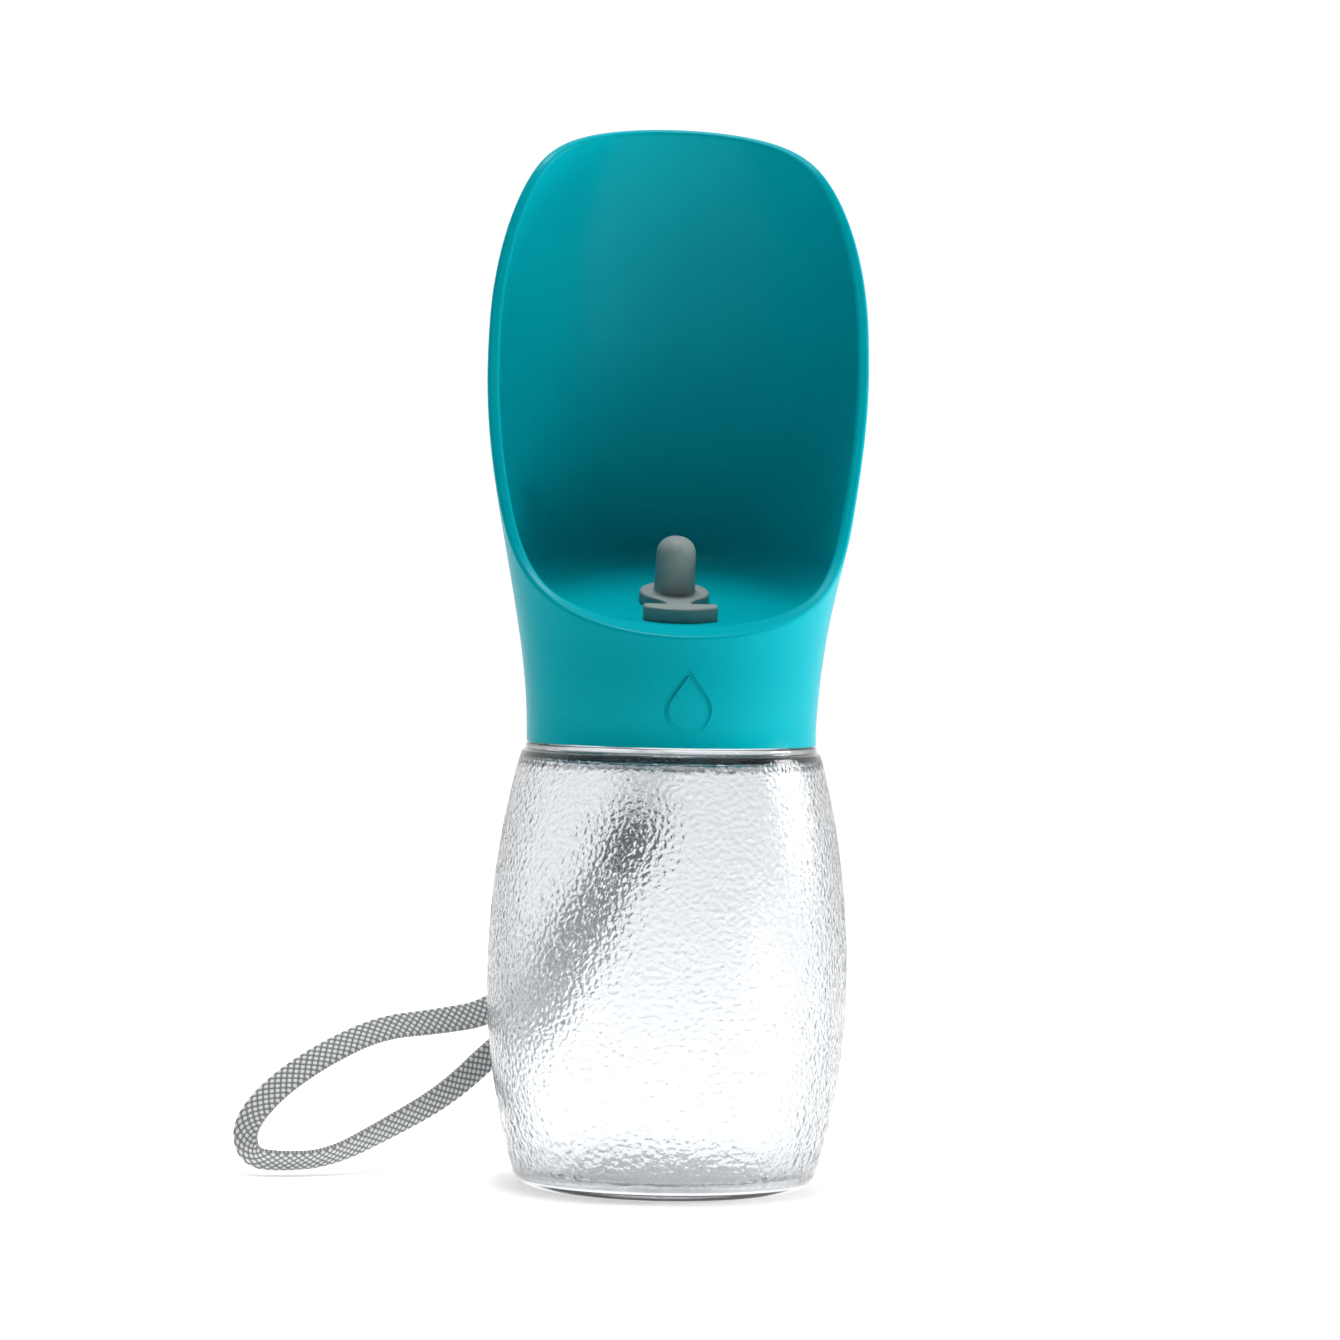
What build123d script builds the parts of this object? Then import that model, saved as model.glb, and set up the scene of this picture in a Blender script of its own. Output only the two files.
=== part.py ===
"""Portable drinking bottle for dogs: a barrel bottle under a scoop-shaped cup cap.

Frame: millimetres, +Z up, origin at the centre of the bottle's base. The scoop opens
towards -Y, and the wrist strap hangs behind the collar and lies off to -X.
"""
from build123d import *
from math import atan, cos, pi, radians, sin, sqrt, tan
import os

# ---------------------------------------------------------------- overall sizes
TOTAL_H = 206.0          # base to the top of the scoop
BARREL_R = 34.9          # bottle at its widest
BELLY_Z = 40.0           # height of the widest ring
BASE_R = 28.6            # bottle where it meets the table, before its corner is rounded
SHOULDER_Z = 84.0        # height of the ring where the barrel ends under the cap
SCOOP_HALF_W = 37.1      # widest half-width of the scoop

# ---------------------------------------------------------------- bottle
BOTTLE_WALL = 1.6
BASE_CORNER = 2.0        # rounded foot of the barrel
PUSH_UP = 3.0            # hollow under the base, so that it stands on its rim
FOOT_W = 5.0             # width of the standing rim
LAND_H = 1.3             # smooth ring between the barrel and the collar
LAND_PROUD = 0.15        # how far the ring stands out past the collar
SHOULDER_PROUD = 0.7     # how far the barrel stands out past the ring
NECK_R = 24.0            # thread root
NECK_WALL = 2.0
NECK_H = 15.6            # from the land to the rim of the neck

# ---------------------------------------------------------------- thread
THREAD_STARTS = 2
THREAD_LEAD = 8.0
THREAD_H = 1.2
THREAD_BASE = 2.2        # ridge width at its root
THREAD_CREST = 1.2
NECK_THREAD_RUN = 10.0   # height that each start climbs on the neck
CAP_THREAD_RUN = 6.0     # and inside the collar
THREAD_FOOT = 2.6        # first ridge above the land
THREAD_CLEAR = 0.45      # crest of a ridge to the wall it faces
THREAD_ROOT = 0.4        # how deep a ridge is rooted in its wall

# ---------------------------------------------------------------- cup cap
CAP_GAP = 0.3            # between the land and the collar's lower edge
COLLAR_WALL = 2.4        # at the collar's lower edge, over the thread's root
CUP_WALL = 2.3
FLOOR_RISE = 10.0        # seat inside the collar up to the cup floor on the axis
FLOOR_SLOPE = 15.5       # degrees, falling towards the lip
FLOOR_T = 2.4
POCKET_LEDGE = 4.6       # width of the seat ring under the floor
BOWL_FILLET = 8.0        # between the bowl's wall and its floor
RIM_FILLET = 0.7
LIP_RISE = 3.6           # seat up to the outer edge of the lip, at the front
BACK_Y = 33.0            # how far back the scoop reaches
TOP_Y = 16.5             # how far back the top of its rim lies
TOP_NARROWING = 14.0     # half-width lost between the widest ring and the top
NARROWING_POWER = 2.5    # higher keeps the sides upright for longer
MIDDLE_SHIFT = 3.0       # the widest line of the scoop lies this far in front of the axis
MIDDLE_SHIFT_RUN = 24.0  # height over which that shift comes in
WIDEST_SHARE = 0.59      # widest ring, as a share of the way from the collar to the top
SCOOP_RINGS = 18         # rings that its surface is drawn through
LEAN_SHARE = 0.54        # ring that reaches furthest back, likewise

# ---------------------------------------------------------------- gasket
GASKET_T = 2.0
GASKET_W = 3.4
GASKET_SKIRT_CLEAR = 0.2
SEAT_GAP = 0.1           # faces that touch at rest on pieces that move apart

# ---------------------------------------------------------------- stopper
PEG_R = 4.0              # at its root
PEG_TOP_R = 3.7          # where the dome starts
PEG_H = 10.7             # above the sealing disc, dome included
DISC_R = 6.8
DISC_T = 2.2
SPOUT_R = 3.6            # drinking hole through the floor
PLUG_CLEAR = 0.12
PLUG_DEPTH = 4.2
PLUG_TIP_R = 2.2
PLUG_ROUND = 0.6
DISC_ROUND = 0.6         # upper edge of the disc
DISC_UNDER_ROUND = 0.3
PEG_FOOT_ROUND = 0.5     # where the peg rises from the disc
PEG_DOME_R = 3.2         # rounding of the peg's top
ANCHOR_W = 14.2
ANCHOR_T = 2.8
ANCHOR_DEPTH = 4.2       # front to back, over the convex front
ANCHOR_SIDE_DEPTH = 2.2  # at its flat ends
TETHER_GAP = 4.0         # from the disc's edge to the anchor's straight rear edge
ANCHOR_HOLE_R = 1.6
ANCHOR_STEM_CLEAR = 0.05
ANCHOR_HEAD_R = 2.4
ANCHOR_HEAD_T = 1.4
ANCHOR_HEAD_TIP_R = 1.1
ANCHOR_ROUND = 0.5       # upper edges of the bar
TETHER_T = 1.5
TETHER_WAIST = 4.9
TETHER_FLARE = 9.0       # its width where it joins the disc and the anchor

# ---------------------------------------------------------------- eyelet and strap
LUG_T = 4.0              # across the lug
LUG_REACH = 6.4          # behind the collar
LUG_H = 9.0
LUG_RISE = 7.4           # collar's lower edge to the centre of its hole
LUG_HOLE_R = 2.0
LUG_HOLE_SHIFT = 0.8     # the hole lies this far behind the middle of the eye
CORD_R = 0.8             # hitch cord
CORD_SAG = 0.4           # it runs this far below the middle of the hole,
CORD_BACK = 0.15         # this far behind it,
CORD_OUT = 3.4           # and turns down this far to each side
STRAP_W = 5.6            # flat braid
STRAP_T = 1.2
FERRULE_W = 9.0
FERRULE_T = 6.0
FERRULE_L = 12.0
FERRULE_SIDE_R = 2.9     # its two narrow sides are nearly half round
FERRULE_TOP_ROUND = 0.8

# ---------------------------------------------------------------- engraved drop
DROP_W = 9.0
DROP_H = 12.5
DROP_RISE = 9.0          # collar's lower edge to the middle of the mark
DROP_DEEP = 0.35
DROP_LINE = 0.9

# ---------------------------------------------------------------- worked out
SKIRT_R = NECK_R + THREAD_H + THREAD_CLEAR
COLLAR_R = SKIRT_R + COLLAR_WALL
LAND_R = COLLAR_R + LAND_PROUD
SHOULDER_R = LAND_R + SHOULDER_PROUD
LAND_Z = SHOULDER_Z + LAND_H
NECK_TOP = LAND_Z + NECK_H
COLLAR_Z = LAND_Z + CAP_GAP
SEAT_Z = NECK_TOP + SEAT_GAP + GASKET_T
FLOOR_Z = SEAT_Z + FLOOR_RISE
LIP_Z = SEAT_Z + LIP_RISE
ANCHOR_BACK = DISC_R + TETHER_GAP
LUG_Z = COLLAR_Z + LUG_RISE
LUG_EYE_Y = COLLAR_R + LUG_REACH - LUG_H / 2
LUG_HOLE_Y = LUG_EYE_Y + LUG_HOLE_SHIFT
DROP_Z = COLLAR_Z + DROP_RISE
SCOOP_H = TOTAL_H - COLLAR_Z
SCOOP_WIDE_Z = COLLAR_Z + WIDEST_SHARE * SCOOP_H
BACK_LEAN_Z = COLLAR_Z + LEAN_SHARE * SCOOP_H
OVERRUN = 0.06 * SCOOP_H  # extra height of the lofts, cut away again at the rim
BEYOND = TOTAL_H          # size of a cutting block that clears the whole object
PAST = 1.0                # how far a cut runs past the face that it opens
STRAP_TUBE_R = sqrt(STRAP_W * STRAP_T / pi)  # round cord with the braid's own section
FLOOR_PLANE = Plane(
    origin=(0, 0, FLOOR_Z),
    x_dir=(1, 0, 0),
    z_dir=(0, -sin(radians(FLOOR_SLOPE)), cos(radians(FLOOR_SLOPE))),
)


def along_front(distance, height=0.0):
    """Location on the cup floor, some way in front of the spout and above the floor."""
    return FLOOR_PLANE * Pos(0, -distance, height)


def cylinder_between(radius, low, high):
    """Upright cylinder on the bottle's axis between two heights."""
    return Pos(0, 0, low) * Cylinder(radius, high - low, align=(Align.CENTER, Align.CENTER, Align.MIN))


# ================================================================ bottle
def arc_radius(rise, drop):
    """Radius of an arc that starts upright and falls away by drop over rise."""
    return (rise**2 + drop**2) / (2 * drop)


def barrel_arc_point(radius, rise, side):
    """Middle point of one of the barrel's two arcs, above or below the belly."""
    step = rise / 2
    return (BARREL_R - radius + sqrt(radius**2 - step**2), BELLY_Z + side * step)


def bottle_half_section(inset, neck_outline):
    """Right half of the bottle's outline, drawn in by inset, closed over the given neck."""
    low_rise = BELLY_Z
    high_rise = SHOULDER_Z - BELLY_Z
    low_mid = barrel_arc_point(arc_radius(low_rise, BARREL_R - BASE_R), low_rise, -1)
    high_mid = barrel_arc_point(arc_radius(high_rise, BARREL_R - SHOULDER_R), high_rise, 1)
    foot = (BASE_R - inset, inset)
    belly = (BARREL_R - inset, BELLY_Z)
    shoulder = (SHOULDER_R - inset, SHOULDER_Z - inset)
    with BuildSketch(Plane.XZ) as section:
        with BuildLine():
            Line((0, inset), foot)
            ThreePointArc(foot, (low_mid[0] - inset, low_mid[1]), belly)
            ThreePointArc(belly, (high_mid[0] - inset, high_mid[1]), shoulder)
            Polyline(shoulder, *neck_outline, (0, inset))
        make_face()
    corner = section.sketch.vertices().sort_by_distance(Vector(foot[0], 0, foot[1]))[0]
    return fillet(corner, BASE_CORNER)


def thread(radius, outward, low, climb):
    """Helical ridges on a wall: THREAD_STARTS of them, rooted in the wall."""
    side = 1 if outward else -1
    root = radius - side * THREAD_ROOT
    crest = radius + side * THREAD_H
    ridges = []
    for start in range(THREAD_STARTS):
        path = Helix(pitch=THREAD_LEAD, height=climb, radius=radius)
        half_root = THREAD_BASE / 2
        half_crest = THREAD_CREST / 2
        outline = Polyline(
            (root, 0, -half_root), (crest, 0, -half_crest), (crest, 0, half_crest),
            (root, 0, half_root), close=True,
        )
        ridge = sweep(make_face(outline), path=path, is_frenet=True)
        ridges.append(Pos(0, 0, low) * Rot(0, 0, 360 * start / THREAD_STARTS) * ridge)
    return ridges


def make_bottle():
    """Blow-moulded clear bottle: barrel, hollow base, smooth land and threaded neck."""
    neck_in = NECK_R - NECK_WALL
    outside = [
        (LAND_R, SHOULDER_Z), (LAND_R, LAND_Z), (NECK_R, LAND_Z), (NECK_R, NECK_TOP), (0, NECK_TOP),
    ]
    inside = [(neck_in, SHOULDER_Z - BOTTLE_WALL), (neck_in, NECK_TOP + PAST), (0, NECK_TOP + PAST)]
    shell = revolve(bottle_half_section(0, outside), Axis.Z)
    dome_r = BASE_R - FOOT_W
    dome_ball = arc_radius(dome_r, PUSH_UP)
    dome = Pos(0, 0, PUSH_UP - dome_ball) * Sphere(dome_ball)
    inner_ball = dome_ball + BOTTLE_WALL
    cavity = revolve(bottle_half_section(BOTTLE_WALL, inside), Axis.Z)
    cavity -= Pos(0, 0, PUSH_UP - dome_ball) * Sphere(inner_ball)
    shell -= cavity
    shell -= dome
    for ridge in thread(NECK_R, True, LAND_Z + THREAD_FOOT, NECK_THREAD_RUN):
        shell += ridge
    return shell


# ================================================================ cup cap
def swell(z, low, high):
    """Smooth step from 0 to 1 between two heights."""
    part = min(max((z - low) / (high - low), 0.0), 1.0)
    return sin(part * pi / 2) ** 2


def scoop_half_width(z):
    """Half-width of the scoop: the collar's, swelling to the widest ring, then drawn in."""
    over = max(z - SCOOP_WIDE_Z, 0.0) / (TOTAL_H - SCOOP_WIDE_Z)
    swollen = COLLAR_R + (SCOOP_HALF_W - COLLAR_R) * swell(z, COLLAR_Z, SCOOP_WIDE_Z)
    return swollen - TOP_NARROWING * over**NARROWING_POWER


def scoop_back(z):
    """How far back the scoop's outside reaches: it swells, then curls forward on an arc."""
    arc = arc_radius(TOTAL_H - BACK_LEAN_Z, BACK_Y - TOP_Y)
    curl = arc - sqrt(arc**2 - max(z - BACK_LEAN_Z, 0.0) ** 2)
    return COLLAR_R + (BACK_Y - COLLAR_R) * swell(z, COLLAR_Z, BACK_LEAN_Z) - curl


def scoop_middle(z):
    """Where the widest line of the scoop lies, front to back."""
    return -MIDDLE_SHIFT * swell(z, LIP_Z, LIP_Z + MIDDLE_SHIFT_RUN)


def scoop_ring(z, inset):
    """Elliptical ring of the scoop's surface at a height, drawn in by inset."""
    middle = scoop_middle(z)
    ring = Ellipse(scoop_half_width(z) - inset, scoop_back(z) - middle - inset)
    return Plane(origin=(0, middle, z)) * ring


def scoop_solid(inset, low, high, rings):
    """Loft of the scoop's rings between two heights."""
    heights = [low + (high - low) * i / (rings - 1) for i in range(rings)]
    return loft([scoop_ring(z, inset) for z in heights])


# The rim seen from the side: places in front of the axis as shares of the collar's
# radius, and heights above the lip as shares of the way to the top. It leaves the lip
# at a low slope, sweeps up to stand upright and leans back at the top.
RIM_SIDE = [
    (-1.28, -0.030),
    (-1.02, 0.002),
    (-0.713, 0.051),
    (-0.342, 0.154),
    (-0.157, 0.269),
    (-0.100, 0.427),
    (-0.100, 0.630),
    (-0.057, 0.793),
    (0.090, 0.908),
]


def front_cutter():
    """Everything in front of and above the rim, as seen from the side."""
    reach = 3 * COLLAR_R
    high = TOTAL_H + 2 * OVERRUN
    span = TOTAL_H - LIP_Z
    points = [(0, place * COLLAR_R, LIP_Z + share * span) for place, share in RIM_SIDE]
    points += [(0, TOP_Y, TOTAL_H), (0, TOP_Y + COLLAR_R / 3, TOTAL_H + OVERRUN / 2)]
    rim = Spline(*points)
    start, end = rim @ 0, rim @ 1
    frame = Polyline(end, (0, end.Y, high), (0, -reach, high), (0, -reach, start.Z), start)
    return extrude(make_face([rim, frame]), amount=reach, both=True)


def rounded_rim(body):
    """The scoop with both edges of its rim rounded."""
    rim_faces = [
        face for face in body.faces()
        if face.bounding_box().min.Z < LIP_Z + CUP_WALL and face.bounding_box().max.Z > TOTAL_H - CUP_WALL
        and face.geom_type == GeomType.EXTRUSION
    ]
    edges = [edge for face in rim_faces for edge in face.edges() if abs(edge.center().X) > CUP_WALL]
    return fillet(edges, RIM_FILLET)


def make_cup_cap():
    """One moulding: threaded collar, bowl floor with its two holes, scoop and strap lug."""
    body = scoop_solid(0, COLLAR_Z, TOTAL_H + OVERRUN, SCOOP_RINGS)
    bowl = scoop_solid(CUP_WALL, SEAT_Z, TOTAL_H + OVERRUN + PAST, SCOOP_RINGS)
    bowl -= FLOOR_PLANE * Pos(0, 0, -BEYOND / 2) * Box(BEYOND, BEYOND, BEYOND)
    floor_edge = bowl.faces().sort_by(Axis.Z).first.edges()
    bowl = fillet(floor_edge, BOWL_FILLET)
    body -= bowl
    body = rounded_rim(body - front_cutter())
    body -= cylinder_between(SKIRT_R, COLLAR_Z - PAST, SEAT_Z)
    pocket = cylinder_between(SKIRT_R - POCKET_LEDGE, SEAT_Z - PAST, TOTAL_H)
    pocket -= FLOOR_PLANE * Pos(0, 0, BEYOND / 2 - FLOOR_T) * Box(BEYOND, BEYOND, BEYOND)
    body -= pocket
    for hole_r, place in ((SPOUT_R, 0), (ANCHOR_HOLE_R, ANCHOR_BACK + ANCHOR_DEPTH / 2)):
        body -= along_front(place) * Cylinder(hole_r, 4 * FLOOR_T)
    half_pitch = THREAD_LEAD / THREAD_STARTS / 2
    for ridge in thread(SKIRT_R, False, LAND_Z + THREAD_FOOT + half_pitch, CAP_THREAD_RUN):
        body += ridge
    body += make_lug()
    body -= drop_mark()
    return body


def make_lug():
    """Rounded eye behind the collar, with a hole across it for the hitch cord."""
    eye = Pos(0, LUG_EYE_Y, LUG_Z) * Rot(0, 90, 0) * Cylinder(LUG_H / 2, LUG_T)
    root_y = COLLAR_R - CUP_WALL / 2
    root = Pos(0, (root_y + LUG_EYE_Y) / 2, LUG_Z) * Box(LUG_T, LUG_EYE_Y - root_y, LUG_H)
    hole = Pos(0, LUG_HOLE_Y, LUG_Z) * Rot(0, 90, 0) * Cylinder(LUG_HOLE_R, 2 * LUG_T)
    return eye + root - hole


def drop_outline(scale):
    """A plain water drop: a round belly drawn up to a point."""
    r = DROP_W / 2 * scale
    tip = DROP_H * scale - r
    touch = atan(sqrt(tip**2 - r**2) / r)
    side = (r * sin(touch), r * cos(touch))
    with BuildSketch() as drop:
        with BuildLine():
            Line((0, tip), side)
            ThreePointArc(side, (0, -r), (-side[0], side[1]))
            Line((-side[0], side[1]), (0, tip))
        make_face()
    return drop.sketch


def drop_mark():
    """Shallow outlined drop to be cut into the front of the collar."""
    line = drop_outline(1) - drop_outline(1 - 2 * DROP_LINE / DROP_W)
    belly_z = DROP_Z - DROP_H / 2 + DROP_W / 2
    front = Plane(origin=(0, -COLLAR_R - PAST, belly_z), x_dir=(1, 0, 0), z_dir=(0, -1, 0))
    cutter = extrude(front * line, amount=-COLLAR_R / 2)
    return cutter - scoop_solid(DROP_DEEP, COLLAR_Z - PAST, FLOOR_Z, 6)


def make_gasket():
    """Flat silicone ring between the neck's rim and the seat inside the collar."""
    outer = SKIRT_R - GASKET_SKIRT_CLEAR
    ring = cylinder_between(outer, SEAT_Z - GASKET_T, SEAT_Z)
    return ring - cylinder_between(outer - GASKET_W, SEAT_Z - GASKET_T - PAST, SEAT_Z + PAST)


# ================================================================ stopper
def make_stopper_plug():
    """Domed pull peg on a sealing disc, with a tapered plug that closes the spout."""
    base = SEAT_GAP
    peg_top = base + DISC_T + PEG_H
    outline = FilletPolyline(
        (0, 0, -PLUG_DEPTH), (PLUG_TIP_R, 0, -PLUG_DEPTH), (SPOUT_R - PLUG_CLEAR, 0, base),
        (DISC_R, 0, base), (DISC_R, 0, base + DISC_T), (PEG_R, 0, base + DISC_T),
        (PEG_TOP_R, 0, peg_top), (0, 0, peg_top),
        radius=[PLUG_ROUND, PLUG_CLEAR / 2, DISC_UNDER_ROUND, DISC_ROUND, PEG_FOOT_ROUND, PEG_DOME_R],
    )
    face = make_face([outline, Line(outline @ 1, outline @ 0)])
    return FLOOR_PLANE * revolve(face, Axis.Z)


def make_stopper_tether():
    """Waisted flat neck that joins the disc to the anchor and folds when the peg is pulled."""
    back = sqrt(DISC_R**2 - (TETHER_FLARE / 2) ** 2)
    front = ANCHOR_BACK
    half = TETHER_FLARE / 2
    waist = TETHER_WAIST / 2
    middle = (DISC_R + front) / 2
    with BuildSketch() as neck:
        with BuildLine():
            ThreePointArc((-half, -back), (-waist, -middle), (-half, -front))
            Line((-half, -front), (half, -front))
            ThreePointArc((half, -front), (waist, -middle), (half, -back))
            Line((half, -back), (-half, -back))
        make_face()
        with Locations((0, 0)):
            Circle(DISC_R, mode=Mode.SUBTRACT)
    flat = extrude(neck.sketch, amount=TETHER_T)
    return along_front(0, SEAT_GAP + DISC_T - TETHER_T) * flat


def make_stopper_anchor():
    """Bar with a convex front, held in the floor by a stem and a mushroom head."""
    half = ANCHOR_W / 2
    with BuildSketch() as bar:
        with BuildLine():
            Polyline(
                (-half, -ANCHOR_SIDE_DEPTH), (-half, 0), (half, 0), (half, -ANCHOR_SIDE_DEPTH),
            )
            ThreePointArc((-half, -ANCHOR_SIDE_DEPTH), (0, -ANCHOR_DEPTH), (half, -ANCHOR_SIDE_DEPTH))
        make_face()
    body = extrude(bar.sketch, amount=ANCHOR_T)
    body = fillet(body.edges().group_by(Axis.Z)[-1], ANCHOR_ROUND)
    middle = -ANCHOR_DEPTH / 2
    stem = Pos(0, middle, -FLOOR_T) * Cylinder(
        ANCHOR_HOLE_R - ANCHOR_STEM_CLEAR, FLOOR_T, align=(Align.CENTER, Align.CENTER, Align.MIN))
    head = Pos(0, middle, -FLOOR_T - ANCHOR_HEAD_T) * Cone(
        ANCHOR_HEAD_TIP_R, ANCHOR_HEAD_R, ANCHOR_HEAD_T, align=(Align.CENTER, Align.CENTER, Align.MIN))
    return along_front(ANCHOR_BACK) * (body + stem + head)


# ================================================================ hitch cord, ferrule and strap
# Points chosen along each route, where the cord and the strap really hang and lie:
# to the right, behind the back of the barrel, and up from the table.
HITCH_UP = [
    (-2.2, 3.6, 68.4),
    (-2.6, 3.4, 74.6),
    (-3.3, 2.1, 81.0),
    (-3.6, -0.7, 87.0),
]
HITCH_DOWN = [
    (3.6, -0.9, 86.9),
    (2.6, 1.9, 80.8),
    (1.0, 3.3, 74.5),
    (0.2, 3.6, 68.0),
]
STRAP_ROUTE = [
    (-6.9, 2.1, 60.5),
    (-12.7, 2.1, 50.0),
    (-20.6, 1.7, 39.4),
    (-31.0, -2.0, 31.2),
    (-42.9, -7.7, 28.9),
    (-54.5, -12.9, 27.6),
    (-66.0, -17.9, 22.6),
    (-75.5, -22.3, 16.4),
    (-81.4, -25.3, 9.4),
    (-80.8, -26.7, 3.2),
    (-74.5, -27.5, 2.8),
    (-64.5, -25.5, 3.2),
    (-52.5, -20.3, 8.8),
    (-41.0, -13.7, 14.6),
    (-31.0, -6.7, 23.8),
    (-22.4, -0.5, 30.6),
    (-15.6, 3.7, 41.2),
    (-10.8, 5.1, 50.2),
    (-5.5, 5.1, 59.7),
]
FERRULE_TOP = (-1.1, 3.6, 69.3)
FERRULE_TURN = 29.0      # degrees from upright, foot towards -X


def behind_barrel(points):
    """Points with their second number counted from the back of the barrel, in the part's frame."""
    return [(x, BARREL_R + y, z) for x, y, z in points]


def through_eyelet():
    """The hitch cord's two points just outside the eyelet, low in its hole."""
    back, height = LUG_HOLE_Y + CORD_BACK, LUG_Z - CORD_SAG
    return [(-CORD_OUT, back, height), (CORD_OUT, back, height)]


def corner_radii(points):
    """0.45 of the shorter run at each corner, over the tangent of half the turn."""
    radii = []
    for before, here, after in zip(points, points[1:], points[2:]):
        into = Vector(*here) - Vector(*before)
        away = Vector(*after) - Vector(*here)
        turn = radians(into.get_angle(away))
        radii.append(0.45 * min(into.length, away.length) / tan(turn / 2))
    return radii


def tube_along(points, radius, name):
    """Round tube on straight runs joined by tangent arcs; prints its smallest bends."""
    radii = corner_radii(points)
    path = FilletPolyline(*points, radius=radii)
    start = Plane(origin=path @ 0, z_dir=path % 0)
    tube = sweep(start * Circle(radius), path=path)
    plain = pi * radius**2 * path.length
    print(f"{name}: length {path.length:.1f}, radii {[round(r, 1) for r in radii]}")
    print(f"{name}: volume {tube.volume:.1f} against section times length {plain:.1f}")
    return tube


def make_ferrule():
    """Moulded crimp that grips both ends of the strap and the ends of the hitch cord."""
    block = Box(FERRULE_W, FERRULE_T, FERRULE_L)
    block = fillet(block.edges().filter_by(Axis.Z), FERRULE_SIDE_R)
    block = fillet(block.edges().group_by(Axis.Z)[-1], FERRULE_TOP_ROUND)
    return Pos(*behind_barrel([FERRULE_TOP])[0]) * Rot(0, FERRULE_TURN, 0) * Pos(0, 0, -FERRULE_L / 2) * block


# ================================================================ write the parts
def write(name, shape):
    """One STEP file for one named piece."""
    export_step(shape, f"parts/{name}.step")


os.makedirs("parts", exist_ok=True)
PIECES = {
    "bottle": make_bottle(),
    "cup_cap": make_cup_cap(),
    "neck_gasket": make_gasket(),
    "stopper_plug": make_stopper_plug(),
    "stopper_tether": make_stopper_tether(),
    "stopper_anchor": make_stopper_anchor(),
    "strap_hitch_cord": tube_along(
        behind_barrel(HITCH_UP) + through_eyelet() + behind_barrel(HITCH_DOWN), CORD_R, "hitch cord"),
    "strap_ferrule": make_ferrule(),
    "strap_loop": tube_along(behind_barrel(STRAP_ROUTE), STRAP_TUBE_R, "strap"),
}
for piece_name, piece in PIECES.items():
    write(piece_name, piece)
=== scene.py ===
"""Looks for a dog's travel drinking bottle: a clear hammered barrel under a turquoise trough cap.

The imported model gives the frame. Metres, +Z up, the trough opens towards -Y and the wrist
strap hangs behind the bottle and lies off to -X.
"""
import math

import bpy
import numpy as np
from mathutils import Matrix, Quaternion, Vector


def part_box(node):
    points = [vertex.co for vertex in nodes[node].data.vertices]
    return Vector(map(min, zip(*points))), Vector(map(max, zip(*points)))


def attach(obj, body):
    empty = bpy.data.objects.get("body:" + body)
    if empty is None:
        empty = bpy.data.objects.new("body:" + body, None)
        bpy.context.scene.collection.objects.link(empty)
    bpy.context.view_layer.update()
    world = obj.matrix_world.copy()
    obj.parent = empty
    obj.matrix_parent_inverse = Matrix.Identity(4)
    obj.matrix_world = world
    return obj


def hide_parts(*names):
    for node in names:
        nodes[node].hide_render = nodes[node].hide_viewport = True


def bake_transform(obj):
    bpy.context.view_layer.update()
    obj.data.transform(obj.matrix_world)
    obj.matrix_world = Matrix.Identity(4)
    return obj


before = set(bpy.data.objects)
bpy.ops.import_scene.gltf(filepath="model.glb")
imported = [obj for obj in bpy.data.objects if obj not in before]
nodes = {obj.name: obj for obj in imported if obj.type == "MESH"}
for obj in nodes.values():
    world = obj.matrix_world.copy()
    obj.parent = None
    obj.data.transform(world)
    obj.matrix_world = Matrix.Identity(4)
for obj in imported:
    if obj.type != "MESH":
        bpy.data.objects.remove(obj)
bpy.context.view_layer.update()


# ---------------------------------------------------------------- table, light and camera
# A pale light table that runs out of sight in a dim studio, before a white lit wall. One soft
# box stands on the right, one hangs overhead, and a small one near the table's top lifts the
# front of the collar.
def linear(hex_colour):
    """sRGB hex to linear red, green, blue, alpha: divide by 12.92 near black, else the 2.4 power."""
    srgb = np.array([int(hex_colour[i:i + 2], 16) / 255 for i in (0, 2, 4)])
    low = srgb <= 0.04045
    return (*np.where(low, srgb / 12.92, ((srgb + 0.055) / 1.055) ** 2.4).tolist(), 1.0)


def add(tree, kind, settings=None, inputs=None):
    """One shader node: its own settings, then its inputs by name or number, each a plain value or
    another node's output to link from."""
    node = tree.nodes.new("ShaderNode" + kind)
    for key, value in (settings or {}).items():
        setattr(node, key, value)
    for key, value in (inputs or {}).items():
        if isinstance(value, bpy.types.NodeSocket):
            tree.links.new(value, node.inputs[key])
        else:
            node.inputs[key].default_value = value
    return node


def new_material(name, **values):
    """A material with one Principled shader, with the given values on its own sockets: the
    material, its node tree and the shader."""
    material = bpy.data.materials.new(name)
    material.use_nodes = True
    tree = material.node_tree
    shader = tree.nodes["Principled BSDF"]
    for key, value in values.items():
        shader.inputs[key.replace("_", " ")].default_value = value
    return material, tree, shader


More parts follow.
